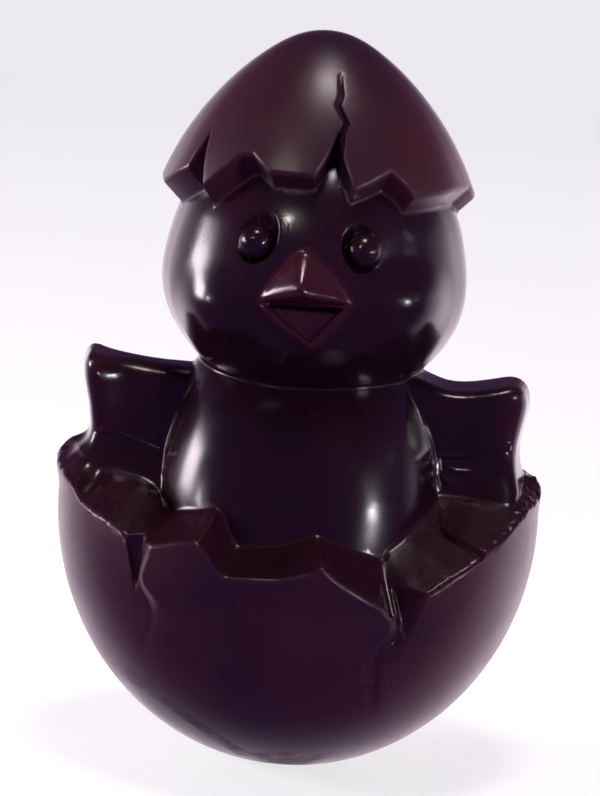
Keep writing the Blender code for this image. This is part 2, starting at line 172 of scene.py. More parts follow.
LEFT_CRACK = (
    (-33.2, -50.0, 51.4),
    (-26.8, -50.0, 51.4),
    (-33.2, -50.0, 66.0),
    (-26.8, -50.0, 66.0),
    (-29.9, -50.0, 38.4),
    (-29.0, -50.0, 38.4),
    (-31.8, -33.4, 51.0),
    (-27.9, -33.4, 51.0),
    (-31.8, -33.4, 66.0),
    (-27.9, -33.4, 66.0),
    (-29.4, -32.9, 40.6),
)
# Planes round the right crack's hollow, as a point on each and the way out of the hollow.
RIGHT_CRACK = (
    ((19.2, -35.0, 48.9), (-0.943, 0.0, -0.334)),
    ((19.0, -30.6, 48.5), (0.421, 0.891, -0.169)),
    ((22.0, -35.0, 35.5), (-0.3, 0.0, -0.954)),
)
# V grooves as x, z, half width and depth along each line.
RIGHT_CRACK_END = (
    (23.4, 38.8, 1.6, 1.7),
    (23.2, 36.6, 1.2, 1.2),
    (22.0, 33.8, 1.0, 0.7),
    (20.2, 31.4, 0.9, 0.3),
    (19.4, 28.6, 0.9, 0.08),
)
CAP_CRACK = (
    (4.6, 129.0, 1.1, 2.4),
    (4.9, 131.4, 0.8, 1.9),
    (5.6, 133.4, 0.6, 1.4),
    (4.7, 135.0, 0.5, 1.1),
    (3.6, 136.6, 0.5, 0.9),
    (4.2, 138.4, 0.45, 0.7),
    (3.8, 140.6, 0.35, 0.4),
    (3.7, 142.2, 0.2, 0.1),
)
FACET_STEP = ((29.0, 53.3), (31.5, 52.1), (33.6, 51.3), (37.7, 49.8), (43.0, 47.6))  # x and height
FACET_SLOPE = (0.105, 0.555, 60.87)  # height of the right broken face for each x and y

CAP_EDGE = (  # degrees round from the front, and height
    (-90.0, 118.8),
    (-78.0, 118.4),
    (-57.8, 122.3),
    (-54.4, 129.3),
    (-44.5, 119.2),
    (-30.5, 126.4),
    (-26.0, 126.6),
    (-16.8, 123.4),
    (-7.9, 123.3),
    (0.6, 123.2),
    (5.6, 127.5),
    (10.0, 132.2),
    (11.0, 132.0),
    (11.6, 127.1),
    (15.8, 120.9),
    (31.3, 124.7),
    (36.6, 122.4),
    (39.7, 120.1),
    (67.1, 121.1),
    (83.0, 120.8),
    (92.0, 118.4),
    (106.0, 121.6),
    (120.0, 118.6),
    (138.0, 125.4),
    (152.0, 119.4),
    (168.0, 124.0),
    (184.0, 119.8),
    (200.0, 126.0),
    (214.0, 121.0),
    (230.0, 122.6),
    (246.0, 118.8),
    (258.0, 121.4),
    (270.0, 118.8),
)
CAP_FACE_SLOPE = (0.75, 1.0)  # of the broken edge, at the front and at the sides
CAP_NARROW = 0.11  # over this share of its height the cap's tip is a little narrower

# How far the wing's face stands in front of the middle plane: a row for each distance out from the
# middle, a column for each height.
WING_HEIGHTS = (50.0, 56.0, 60.0, 64.0, 68.0, 72.0, 76.0, 80.0, 84.0)
WING_OUT = (21.0, 25.0, 29.0, 33.0, 36.5, 39.6, 42.4, 46.0)
LEFT_FACE = (
    (15.0, 13.6, 11.8, 9.8, 8.8, 8.2, 7.8, 7.6, 7.4),
    (15.2, 13.8, 11.8, 9.7, 8.6, 8.0, 7.6, 7.4, 7.2),
    (15.4, 14.0, 11.6, 9.4, 8.2, 7.6, 7.2, 7.2, 7.2),
    (15.4, 13.8, 11.2, 9.0, 7.8, 7.1, 6.8, 7.0, 7.4),
    (15.0, 13.2, 10.8, 8.8, 7.6, 7.0, 6.9, 7.4, 8.0),
    (14.2, 12.6, 10.6, 9.0, 8.2, 8.2, 8.4, 8.8, 9.0),
    (13.4, 12.2, 10.8, 9.7, 9.3, 9.8, 10.2, 10.4, 10.0),
    (12.6, 11.8, 11.0, 10.0, 9.8, 10.4, 10.8, 10.8, 10.4),
)
RIGHT_FACE = (
    (11.0, 10.0, 9.4, 9.0, 8.6, 8.4, 8.6, 8.6, 8.4),
    (11.4, 10.2, 9.4, 8.8, 8.4, 8.4, 8.8, 8.8, 8.4),
    (12.0, 10.8, 9.6, 8.7, 8.2, 8.5, 9.0, 9.0, 8.4),
    (13.0, 11.8, 10.2, 8.8, 8.1, 8.6, 9.2, 9.2, 8.6),
    (14.0, 12.9, 11.0, 9.1, 8.2, 8.6, 9.2, 9.4, 9.0),
    (15.0, 14.2, 12.0, 9.6, 8.2, 8.2, 8.8, 9.2, 9.0),
    (16.0, 15.2, 12.6, 9.8, 8.0, 7.6, 8.0, 8.6, 8.6),
    (17.0, 16.0, 13.0, 9.6, 7.2, 6.4, 6.6, 7.6, 8.0),
)
WING_DRAFT = 0.15  # how fast the wings narrow away from the middle plane
WING_BACK = ((10.0, 14.0), (21.0, 12.0), (25.0, 10.5), (29.0, 9.5), (36.5, 9.0), (42.4, 8.0), (46.0, 7.4))
LEFT_WING = (  # outline as x and z
    (-12.0, 79.0),
    (-21.8, 80.8),
    (-23.9, 81.0),
    (-30.1, 81.1),
    (-36.3, 81.8),
    (-40.4, 82.5),
    (-43.4, 83.5),
    (-44.8, 82.8),
    (-45.6, 81.0),
    (-45.7, 79.1),
    (-45.4, 76.6),
    (-44.9, 74.2),
    (-44.3, 71.6),
    (-44.0, 69.2),
    (-43.7, 67.0),
    (-44.0, 65.4),
    (-44.8, 64.0),
    (-46.0, 62.4),
    (-46.0, 50.0),
    (-12.0, 50.0),
)
RIGHT_WING = (
    (12.0, 50.0),
    (46.0, 50.0),
    (46.4, 60.0),
    (45.3, 63.0),
    (44.6, 65.6),
    (44.4, 68.6),
    (44.8, 71.6),
    (45.5, 74.8),
    (45.9, 77.4),
    (45.6, 79.6),
    (44.8, 81.2),
    (43.2, 82.3),
    (41.2, 82.5),
    (37.4, 81.6),
    (33.3, 80.8),
    (29.3, 80.7),
    (26.3, 81.6),
    (23.0, 83.0),
    (12.0, 83.4),
)
# Raised lines between feathers: x, z and how far each stands out.
FEATHERS = (
    ((-40.0, 67.0, 0.0), (-37.2, 66.4, 0.1), (-33.0, 65.2, 0.12), (-28.4, 63.8, 0.16)),
    ((27.6, 67.1, 0.1), (28.9, 66.8, 0.35), (30.4, 66.7, 0.35), (33.2, 66.9, 0.25), (38.0, 67.8, 0.2), (42.0, 69.2, 0.15)),
    ((29.6, 64.4, 0.1), (31.8, 63.7, 0.35), (34.0, 63.8, 0.3), (36.2, 64.0, 0.0)),
    ((28.0, 66.4, 0.1), (28.0, 65.0, 0.4), (28.3, 63.6, 0.4), (29.4, 62.0, 0.4), (31.4, 60.9, 0.1)),
)
# Thin raised line between each wing and the side of the breast: x and z.
BREAST_RIDGES = (
    ((-20.9, 77.8), (-21.8, 75.0), (-23.9, 69.4), (-25.3, 65.0), (-26.4, 60.2), (-27.1, 55.0)),
    ((20.4, 80.8), (21.5, 79.0), (23.2, 76.0), (24.7, 72.2), (26.0, 68.8), (27.0, 65.4), (28.2, 59.8)),
)
# Eyes: x of the socket, its height, half width and half height, x of the ball, its height and radius.
EYES = (
    (-10.35, 111.5, 4.3, 6.1, -10.4, 109.5, 3.35),
    (10.6, 110.3, 4.1, 5.2, 10.8, 109.1, 3.6),
)
UPPER_BEAK = (
    (-0.4, -27.6, 109.4),
    (-1.6, -28.6, 108.6),
    (1.8, -28.8, 107.6),
    (-4.3, -28.4, 106.4),
    (-6.7, -28.4, 103.3),
    (-9.0, -28.4, 99.9),
    (-9.0, -28.4, 98.3),
    (4.6, -28.8, 105.4),
    (7.0, -28.6, 102.6),
    (9.5, -28.2, 99.2),
    (8.8, -28.2, 98.3),
    (-1.0, -35.0, 103.2),
    (-0.2, -34.6, 100.6),
    (-5.8, -31.2, 99.6),
    (5.4, -31.8, 99.9),
    (-0.4, -20.0, 109.8),
    (-8.0, -20.0, 98.2),
    (8.0, -20.0, 98.2),
)
LOWER_BEAK = (
    (-8.8, -28.5, 97.8),
    (-5.2, -29.4, 94.4),
    (-2.4, -29.6, 92.4),
    (1.2, -29.4, 89.9),
    (2.2, -29.2, 89.9),
    (5.5, -29.0, 93.8),
    (8.5, -28.2, 97.2),
    (-8.6, -23.0, 96.8),
    (-5.4, -23.0, 93.2),
    (-2.4, -23.0, 91.2),
    (1.6, -23.0, 88.8),
    (5.7, -23.0, 92.6),
    (8.3, -23.0, 96.2),
)
MOUTH = (
    (-7.3, -40.0, 98.5),
    (7.8, -40.0, 98.3),
    (-7.0, -24.0, 98.2),
    (7.4, -24.0, 98.0),
    (-6.9, -40.0, 97.2),
    (7.2, -40.0, 97.0),
    (-6.6, -24.0, 97.2),
    (6.8, -24.0, 97.0),
)
CUP = (
    (-7.0, -40.0, 98.2),
    (7.3, -40.0, 98.0),
    (-6.7, -40.0, 96.8),
    (6.9, -40.0, 96.6),
    (1.6, -40.0, 90.7),
    (-6.5, -27.6, 98.2),
    (6.8, -27.4, 98.0),
    (-6.3, -27.5, 96.9),
    (6.5, -27.3, 96.7),
    (1.6, -28.0, 91.0),
)


# ---------------------------------------------------------------- distance field


def soft_min(a, b, blend):
    near = np.maximum(blend - np.abs(a - b), 0.0) / blend
    return np.minimum(a, b) - near * near * blend * 0.25


def soft_max(a, b, blend):
    return -soft_min(-a, -b, blend)


def chamfered(a, b, width, blend=0.25):
    """The parts inside both a and b, with their shared edge cut off flat."""
    flat = (a + b) * math.sqrt(0.5) + width
    return soft_max(soft_max(a, b, blend), flat, blend)


def smooth_step(low, high, value):
    t = np.clip((value - low) / (high - low), 0.0, 1.0)
    return t * t * (3.0 - 2.0 * t)


def ellipsoid(p, centre, radii):
    q = p - np.array(centre, np.float32)
    r = np.array(radii, np.float32)
    near = np.linalg.norm(q / r, axis=1)
    slope = np.maximum(np.linalg.norm(q / (r * r), axis=1), 1e-4)
    return near * (near - 1.0) / slope


def hull_planes(corners):
    """Outward normals and offsets of the planes round a set of corners."""
    work = bmesh.new()
    for corner in corners:
        work.verts.new(corner)
    bmesh.ops.convex_hull(work, input=work.verts)
    middle = Vector(np.mean(corners, axis=0))
    planes = {}
    for face in work.faces:
        face.normal_update()
        normal = face.normal.copy()
        if normal.dot(face.verts[0].co - middle) < 0:
            normal.negate()
        key = tuple(round(n, 2) for n in normal)
        planes[key] = (tuple(normal), normal.dot(face.verts[0].co))
    work.free()
    return list(planes.values())


def convex(p, planes, blend):
    d = None
    for normal, offset in planes:
        side = p @ np.array(normal, np.float32) - np.float32(offset)
        d = side if d is None else soft_max(d, side, blend)
    return d


def chain(p, line):
    """Distance to a line of balls that change in radius: line holds x, y, z and radius."""
    d = np.full(len(p), 1e3, np.float32)
    for (ax, ay, az, ar), (bx, by, bz, br) in zip(line, line[1:]):
        start = np.array((ax, ay, az), np.float32)
        along = np.array((bx - ax, by - ay, bz - az), np.float32)
        t = np.clip((p - start) @ along / (along @ along), 0.0, 1.0)
        gap = np.linalg.norm(p - start - t[:, None] * along, axis=1) - (ar + t * (br - ar))
        d = np.minimum(d, gap)
    return d


def outline_distance(x, z, outline):
    """Signed distance in a front view to a closed outline of x and z."""
    nearest = np.full(len(x), 1e6, np.float32)
    inside = np.zeros(len(x), bool)
    for (ax, az), (bx, bz) in zip(outline, outline[1:] + outline[:1]):
        ex, ez = bx - ax, bz - az
        t = np.clip(((x - ax) * ex + (z - az) * ez) / (ex * ex + ez * ez), 0.0, 1.0)
        nearest = np.minimum(nearest, (x - ax - t * ex) ** 2 + (z - az - t * ez) ** 2)
        if az != bz:
            crosses = (az > z) != (bz > z)
            inside ^= crosses & (x < ax + (z - az) * ex / ez)
    return np.where(inside, -1.0, 1.0).astype(np.float32) * np.sqrt(nearest)


def rounded(outline, turns=1):
    """The outline with its corners cut, twice as many points a turn."""
    for _ in range(turns):
        cut = []
        for a, b in zip(outline, outline[1:] + outline[:1]):
            cut.append(tuple(0.75 * u + 0.25 * v for u, v in zip(a, b)))
            cut.append(tuple(0.25 * u + 0.75 * v for u, v in zip(a, b)))
        outline = tuple(cut)
    return outline


def lattice_noise(p, size, seed):
    """Smooth noise from -1 to 1 that varies over the given size."""
    q = p / np.float32(size)
    cell = np.floor(q).astype(np.int64)
    f = (q - cell).astype(np.float32)
    f = f * f * (3.0 - 2.0 * f)
    total = np.zeros(len(p), np.float32)
    for corner in range(8):
        bits = (corner & 1, corner >> 1 & 1, corner >> 2)
        key = np.zeros(len(p), np.int64)
        share = np.ones(len(p), np.float32)
        for axis, (bit, prime) in enumerate(zip(bits, (73856093, 19349663, 83492791))):
            key ^= (cell[:, axis] + bit) * prime
            share *= f[:, axis] if bit else 1.0 - f[:, axis]
        key = (key ^ seed * 2654435761) & 0x7FFFFFFF
        key = (key * 1103515245 + 12345) & 0x7FFFFFFF
        key = ((key >> 13) ^ key) * 60493 & 0x7FFFFFFF
        total += share * (key.astype(np.float32) / np.float32(0x3FFFFFFF) - 1.0)
    return total


def bowl_front(x, z):
    across = x / BOWL_RADII[0]
    height = (z - BOWL_CENTRE[2]) / BOWL_RADII[2]
    return BOWL_RADII[1] * math.sqrt(max(0.0, 1.0 - across**2 - height**2))


def skull_front(x, z):
    across = (x - SKULL_CENTRE[0]) / SKULL_RADII[0]
    height = (z - SKULL_CENTRE[2]) / SKULL_RADII[2]
    return SKULL_RADII[1] * math.sqrt(max(0.0, 1.0 - across**2 - height**2))


def cap_swell(height):
    """Squared radius of the cap at a height, and how fast it changes with the height."""
    drop = (CAP_TOP - height) / CAP_RIM_DROP
    tip = np.exp(-np.maximum(drop, 0.0) / CAP_NARROW)
    swell = 1.0 + 0.15 * drop * (1.0 - drop) - drop * tip
    swell_change = 0.15 * (1.0 - 2.0 * drop) - tip * (1.0 - drop / CAP_NARROW)
    square = CAP_RIM_RADIUS**2 * drop * swell**2
    change = CAP_RIM_RADIUS**2 * (swell**2 + 2.0 * drop * swell * swell_change)
    return square, -change / CAP_RIM_DROP


# The broken rim as a height over the floor for each x and y.
MAP_STEP = 0.25
MAP_REACH = 64.0
MAP_SIZE = int(2 * MAP_REACH / MAP_STEP) + 1


def rim_rows(stations, side):
    rows = []
    for (x, z), inner in stations:
        outer = (x, side * bowl_front(x, z), z)
        far = [a + 0.6 * (a - b) for a, b in zip(outer, inner)]
        far[1] = outer[1] + side * 12.0
        middle = (inner[0], -side * 0.6, inner[2] + 1.0)
        rows.append([tuple(far), outer, inner, middle])
    for end, place in ((0, 0), (-1, len(rows) + 1)):
        away = 14.0 if stations[end][0][0] > 0 else -14.0
        rows.insert(place, [(x + away, y, z) for x, y, z in rows[end]])
    return rows


def draw_triangle(heights, corners):
    """Lowers the map to a triangle wherever the triangle covers it."""
    c = np.array(corners)
    low = np.maximum(np.floor((c[:, :2].min(0) + MAP_REACH) / MAP_STEP).astype(int), 0)
    high = np.minimum(np.ceil((c[:, :2].max(0) + MAP_REACH) / MAP_STEP).astype(int) + 1, MAP_SIZE)
    if (high <= low).any():
        return
    u, v = c[1] - c[0], c[2] - c[0]
    area = u[0] * v[1] - u[1] * v[0]
    if abs(area) < 1e-6:
        return
    x, y = np.meshgrid(
        np.arange(low[0], high[0]) * MAP_STEP - MAP_REACH - c[0, 0],
        np.arange(low[1], high[1]) * MAP_STEP - MAP_REACH - c[0, 1],
        indexing="ij",
    )
    s = (x * v[1] - y * v[0]) / area
    t = (y * u[0] - x * u[1]) / area
    z = np.where((s > -0.01) & (t > -0.01) & (s + t < 1.01), c[0, 2] + s * u[2] + t * v[2], 1e3)
    block = heights[low[0] : high[0], low[1] : high[1]]
    np.minimum(block, z, out=block)


def blurred(values, turns):
    for _ in range(turns):
        for axis in (0, 1):
            before = np.roll(values, 1, axis)
            after = np.roll(values, -1, axis)
            values = 0.5 * values + 0.25 * (before + after)
    return values


def rim_map():
    heights = np.full((MAP_SIZE, MAP_SIZE), 1e3)
    for stations, side in ((FRONT_RIM, -1), (BACK_RIM, 1)):
        rows = rim_rows(stations, side)
        for first, second in zip(rows, rows[1:]):
            for index in range(3):
                a, b, c, d = first[index], second[index], second[index + 1], first[index + 1]
                draw_triangle(heights, (a, b, d))
                draw_triangle(heights, (b, c, d))
    heights[heights > 500.0] = 62.0
    return heights


def raise_facet(heights):
    """Lifts the upper part of the right broken face along a stepped edge."""
    grid = np.arange(MAP_SIZE) * MAP_STEP - MAP_REACH
    x, y = np.meshgrid(grid, grid, indexing="ij")
    line = []
    for sx, sz in FACET_STEP:
        line.append((sx, (sz - FACET_SLOPE[2] - FACET_SLOPE[0] * sx) / FACET_SLOPE[1]))
    outline = tuple(line) + ((52.0, -6.0), (28.0, -6.0))
    flat = outline_distance(x.ravel().astype(np.float32), y.ravel().astype(np.float32), outline)
    flat = flat.reshape(x.shape)
    lift = np.sin(0.5 * np.pi * np.clip(-flat / 1.1, 0.0, 1.0))
    groove = np.exp(-(((flat - 0.25) / 0.45) ** 2))
    front = smooth_step(-9.0, -14.0, y)
    deep = (0.4 + 1.3 * smooth_step(34.5, 30.5, x)) * smooth_step(28.4, 29.8, x)
    return heights + front * (0.75 * lift * smooth_step(27.5, 36.0, x) - deep * groove)


RIM_HEIGHT = raise_facet(blurred(rim_map(), 8))
_slope = np.gradient(blurred(RIM_HEIGHT, 6), MAP_STEP)
RIM_SHARE = 1.0 / np.sqrt(1.0 + _slope[0] ** 2 + _slope[1] ** 2)


def read_map(values, x, y):
    u = np.clip((x + MAP_REACH) / MAP_STEP, 0.0, MAP_SIZE - 1.001)
    v = np.clip((y + MAP_REACH) / MAP_STEP, 0.0, MAP_SIZE - 1.001)
    i, j = u.astype(np.int32), v.astype(np.int32)
    u, v = u - i, v - j
    low = values[i, j] * (1 - v) + values[i, j + 1] * v
    high = values[i + 1, j] * (1 - v) + values[i + 1, j + 1] * v
    return (low * (1 - u) + high * u).astype(np.float32)


LEFT_CRACK_PLANES = hull_planes(LEFT_CRACK)
RIGHT_CRACK_PLANES = [(n, float(np.dot(n, point))) for point, n in RIGHT_CRACK]
UPPER_BEAK_PLANES = hull_planes(UPPER_BEAK)
LOWER_BEAK_PLANES = hull_planes(LOWER_BEAK)
MOUTH_PLANES = hull_planes(MOUTH)
CUP_PLANES = hull_planes(CUP)
PLATE = rounded(PLATE_OUTLINE)
WINGS = (rounded(LEFT_WING), rounded(RIGHT_WING))


def within(p, low, high):
    return np.all((p > np.array(low, np.float32)) & (p < np.array(high, np.float32)), axis=1)


def groove(d, skin, p, line, blend=0.5):
    """Cuts a V groove along a line of x and z into a front surface."""
    low = np.min(line, axis=0)
    high = np.max(line, axis=0)
    near = within(p, (low[0] - 3, -70, low[1] - 3), (high[0] + 3, 0, high[1] + 3)) & (np.abs(skin) < 5.0)
    q = p[near]
    under = -skin[near]
    cut = np.full(len(q), -1e3, np.float32)
    for (ax, az, aw, ad), (bx, bz, bw, bd) in zip(line, line[1:]):
        ex, ez = bx - ax, bz - az
        t = np.clip(((q[:, 0] - ax) * ex + (q[:, 2] - az) * ez) / (ex * ex + ez * ez), 0.0, 1.0)
        away = np.hypot(q[:, 0] - ax - t * ex, q[:, 2] - az - t * ez)
        wide = aw + t * (bw - aw)
        deep = ad + t * (bd - ad)
        reach = wide * (1.0 - under / deep) - away
        cut = np.maximum(cut, reach / np.sqrt(1.0 + (wide / deep) ** 2))
    d[near] = soft_max(d[near], cut, blend)
    return d


def bowl_skin(p):
    skin = ellipsoid(p, BOWL_CENTRE, BOWL_RADII)
    near = within(p, (-32, -60, 6), (26, -12, 75))
    q = p[near]
    inside = -outline_distance(q[:, 0], q[:, 2], PLATE)
    full = smooth_step(35.0, 44.0, q[:, 2])
    left = smooth_step(10.0, -18.0, q[:, 0])
    width = PLATE_LIP * (1.0 + 1.4 * left * (1.0 - full))
    lip = np.sin(0.5 * np.pi * np.clip(inside / width, 0.0, 1.0))
    start = 14.0 + 9.0 * smooth_step(12.0, -20.0, q[:, 0])
    fade = smooth_step(0.0, 17.0, q[:, 2] - start)
    low = 0.22 * left - 0.40 * (1.0 - left)
    trench = (0.60 - 0.45 * left) * (1.0 - full) * np.exp(-((inside / 0.8) ** 2))
    skin[near] += fade * (trench - PLATE_LIFT * lip * (low + (1.0 - low) * full))
    ends = within(p, (-60, -30, 50), (60, 30, 70)) & (np.abs(p[:, 0]) > 38.0)
    q = p[ends]
    flare = smooth_step(54.0, 61.0, q[:, 2]) * smooth_step(39.0, 47.0, np.abs(q[:, 0]))
    skin[ends] -= np.where(q[:, 0] < 0.0, 1.3, 0.8) * flare
    return soft_max(skin, -p[:, 2], 1.2)


def rim_cut(p):
    height = read_map(RIM_HEIGHT, p[:, 0], p[:, 1])
    share = read_map(RIM_SHARE, p[:, 0], p[:, 1])
    d = (p[:, 2] - height) * share
    rough = within(p, (-55, -55, 36), (55, 50, 72)) & (np.abs(d) < 3.0)
    q = p[rough]
    plate = smooth_step(-29.0, -25.0, q[:, 0]) * smooth_step(24.0, 20.0, q[:, 0])
    plate *= smooth_step(-20.0, -26.0, q[:, 1])
    waves = 0.06 * lattice_noise(q, 4.2, 3) + 0.03 * lattice_noise(q, 1.5, 5)
    corner = smooth_step(42.5, 45.5, q[:, 0])
    d[rough] += waves * (1.0 - 0.7 * plate) + corner * (0.45 * lattice_noise(q, 2.2, 7) + 0.25 * lattice_noise(q, 0.9, 8))
    return d


def bowl(p):
    skin = bowl_skin(p)
    cut = rim_cut(p)
    edge = np.hypot(skin, cut) < 3.0
    crumbs = np.zeros(len(p), np.float32)
    q = p[edge]
    plate = smooth_step(-29.0, -26.0, q[:, 0]) * smooth_step(23.0, 20.0, q[:, 0])
    crumbs[edge] = (1.0 - 0.9 * plate) * 0.30 * np.maximum(lattice_noise(q, 1.0, 11), -0.2)
    near = np.maximum(0.0, 1.0 - np.hypot(skin, cut) / 1.6)
    d = chamfered(skin, cut, 0.42) + crumbs * near
    box = within(p, (-38, -52, 34), (-22, -10, 68))
    d[box] = soft_max(d[box], -convex(p[box], LEFT_CRACK_PLANES, 0.6), 0.7)
    box = within(p, (14, -52, 28), (34, -10, 68))
    d[box] = soft_max(d[box], -convex(p[box], RIGHT_CRACK_PLANES, 0.8), 0.5)
    groove(d, skin, p, RIGHT_CRACK_END, 0.9)
    return d


def spread(profile, between=6):
    """The profile's columns with steps added on a smooth curve through them."""
    made = []
    for index in range(len(profile) - 1):
        a = np.array(profile[max(index - 1, 0)])
        b, c = np.array(profile[index]), np.array(profile[index + 1])
        d = np.array(profile[min(index + 2, len(profile) - 1)])
        for step in range(between):
            t = step / between
            bend = (2 * a - 5 * b + 4 * c - d) * t + (3 * b - a - 3 * c + d) * t**2
            made.append(b + 0.5 * t * (c - a + bend))
    made.append(np.array(profile[-1]))
    return np.array(made).T


TORSO_WIDTH, TORSO_DEPTH, TORSO_HEIGHT = spread(TORSO_PROFILE)


def lofted(p, growth, depth_share):
    """Distance to a stack of ellipses that follows the torso's profile."""
    z = p[:, 2]
    a = np.interp(z, TORSO_HEIGHT, TORSO_WIDTH + growth)
    b = np.interp(z, TORSO_HEIGHT, TORSO_DEPTH * depth_share)
    slope_a = np.interp(z, TORSO_HEIGHT, np.gradient(TORSO_WIDTH, TORSO_HEIGHT))
    slope_b = np.interp(z, TORSO_HEIGHT, np.gradient(TORSO_DEPTH * depth_share, TORSO_HEIGHT))
    n = BELLY_SQUARE
    u, v = np.abs(p[:, 0]) / a, np.abs(p[:, 1]) / b
    q = (u**n + v**n) ** (1.0 / n) + 1e-4
    over_u, over_v = (u / q) ** (n - 1.0), (v / q) ** (n - 1.0)
    along = over_u * u * slope_a / a + over_v * v * slope_b / b
    slope = np.sqrt((over_u / a) ** 2 + (over_v / b) ** 2 + np.minimum(along, 1.2 / a) ** 2)
    d = (q - 1.0) / np.maximum(slope, 0.5 / a)
    return np.maximum(d, np.maximum(z - 91.0, 33.0 - z)).astype(np.float32)


def band_front(x, z):
    growth, share = SIDE_BAND
    a = np.interp(z, TORSO_HEIGHT, TORSO_WIDTH) + growth
    b = np.interp(z, TORSO_HEIGHT, TORSO_DEPTH) * share
    return float(b * max(0.02, 1.0 - abs(x / a) ** BELLY_SQUARE) ** (1.0 / BELLY_SQUARE))


def torso(p):
    d = soft_min(lofted(p, 0.0, 1.0), lofted(p, *SIDE_BAND), 0.8)
    for ridge in BREAST_RIDGES:
        line = [(x, -band_front(x, z) + 0.1, z, 0.6) for x, z in ridge]
        left = ridge[0][0] < 0.0
        box = within(p, (-31, -30, 50), (-17, 2, 82)) if left else within(p, (17, -30, 55), (31, 2, 85))
        d[box] = soft_min(d[box], chain(p[box], line), 0.5)
    return d


def smooth_through(places, values, wanted):
    """Values on a smooth curve through the given ones."""
    knots = spread(tuple(zip(places, values)))
    return np.interp(wanted, knots[0], knots[1])


FACE_STEP = 0.25
FACE_X = np.arange(20.0, 48.0, FACE_STEP)
FACE_Z = np.arange(48.0, 88.0, FACE_STEP)


def wing_face_map(rows):
    columns = [smooth_through(WING_HEIGHTS, row, FACE_Z) for row in rows]
    return np.array([smooth_through(WING_OUT, line, FACE_X) for line in np.array(columns).T]).T


WING_FACES = {-1: wing_face_map(LEFT_FACE), 1: wing_face_map(RIGHT_FACE)}
WING_BACK_X, WING_BACK_Y = np.array(WING_BACK).T


def wing_front(x, z, side):
    """How far in front of the middle plane the wing's face is."""
    values = WING_FACES[side]
    u = np.clip((np.abs(x) - FACE_X[0]) / FACE_STEP, 0.0, len(FACE_X) - 1.001)
    v = np.clip((z - FACE_Z[0]) / FACE_STEP, 0.0, len(FACE_Z) - 1.001)
    i, j = np.int32(u), np.int32(v)
    u, v = u - i, v - j
    low = values[i, j] * (1 - v) + values[i, j + 1] * v
    high = values[i + 1, j] * (1 - v) + values[i + 1, j + 1] * v
    return low * (1 - u) + high * u


def wing(p, side):
    outline = WINGS[0] if side < 0 else WINGS[1]
    x, z = p[:, 0], p[:, 2]
    flat = (outline_distance(x, z, outline) + WING_DRAFT * np.abs(p[:, 1])) * 0.99
    face = (-wing_front(x, z, side) - p[:, 1]) * 0.93
    back = (p[:, 1] - np.interp(np.abs(x), WING_BACK_X, WING_BACK_Y)) * 0.98
    d = soft_max(soft_max(flat, face, 4.5 if side < 0 else 2.6), back, 4.0)
    for feather in FEATHERS:
        if feather[0][0] * side < 0:
            continue
        line = []
        for fx, fz, proud in feather:
            line.append((fx, -float(wing_front(fx, fz, side)) + 0.35 - proud, fz, 0.35))
        d = soft_min(d, chain(p, line), 0.7)
    return d


def eye(d, p, x, z, half_width, half_height, ball_x, ball_z, ball_radius):
    box = within(p, (x - 8, -40, z - 10), (x + 8, -15, z + 10))
    q = p[box]
    local = d[box]
    socket = ellipsoid(q, (x, -skull_front(x, z) - 0.5, z), (half_width, 3.0, half_height))
    local = soft_max(local, -socket, 0.5)
    ball_y = -skull_front(ball_x, ball_z) + 0.36 * ball_radius
    ball = ellipsoid(q, (ball_x, ball_y, ball_z), (ball_radius,) * 3)
    d[box] = soft_min(local, ball, 0.3)
    return d


def head_form(p, growth, share):
    """Skull and jowls: growth in mm to the sides, share of the full depth."""
    a, b, c = SKULL_RADII
    d = ellipsoid(p, SKULL_CENTRE, (a + growth, b * share, c + 0.5 * growth))
    for (x, y, z), (a, b, c) in JOWLS:
        x += 0.5 * math.copysign(growth, x * growth)
        d = soft_min(d, ellipsoid(p, (x, y * share, z), (a + 0.5 * growth, b * share, c)), 3.0)
    return d


def head(p):
    d = head_form(p, -SIDE_GROWTH, 1.0)
    for centre, radii in CHEEKS:
        d = soft_min(d, ellipsoid(p, centre, radii), 4.0)
    d = soft_min(d, head_form(p, 0.0, SIDE_SHARE), 0.5)
    for values in EYES:
        eye(d, p, *values)
    box = within(p, (-12, -40, 84), (12, -15, 113))
    q = p[box]
    local = soft_min(d[box], convex(q, UPPER_BEAK_PLANES, 1.3), 0.7)
    local = soft_min(local, convex(q, LOWER_BEAK_PLANES, 0.4), 0.5)
    local = soft_max(local, -convex(q, CUP_PLANES, 0.3), 0.3)
    d[box] = soft_max(local, -convex(q, MOUTH_PLANES, 0.3), 0.3)
    box = within(p, (-15, -35, 108), (-5, -18, 120))
    glint = ellipsoid(p[box], (-10.3, -skull_front(-10.3, 114.2) + 2.0, 114.2), (0.9, 0.9, 0.9))
    d[box] = soft_min(d[box], glint, 0.4)
    return d


CAP_DEGREES = np.array([degrees for degrees, _ in CAP_EDGE])
CAP_HEIGHTS = np.array([height for _, height in CAP_EDGE])


def cap_form(p, wide, deep):
    """The uncut cap, made wider and deeper by the given shares."""
    x, y, z = p[:, 0] / wide, p[:, 1] / (CAP_DEPTH * deep), p[:, 2]
    square, change = cap_swell(np.clip(z, 100.0, 160.0))
    slope = np.sqrt(4.0 * (x / wide) ** 2 + 4.0 * (y / (CAP_DEPTH * deep)) ** 2 + change**2)
    return ((x * x + y * y - square) / np.maximum(slope, 8.0)).astype(np.float32)


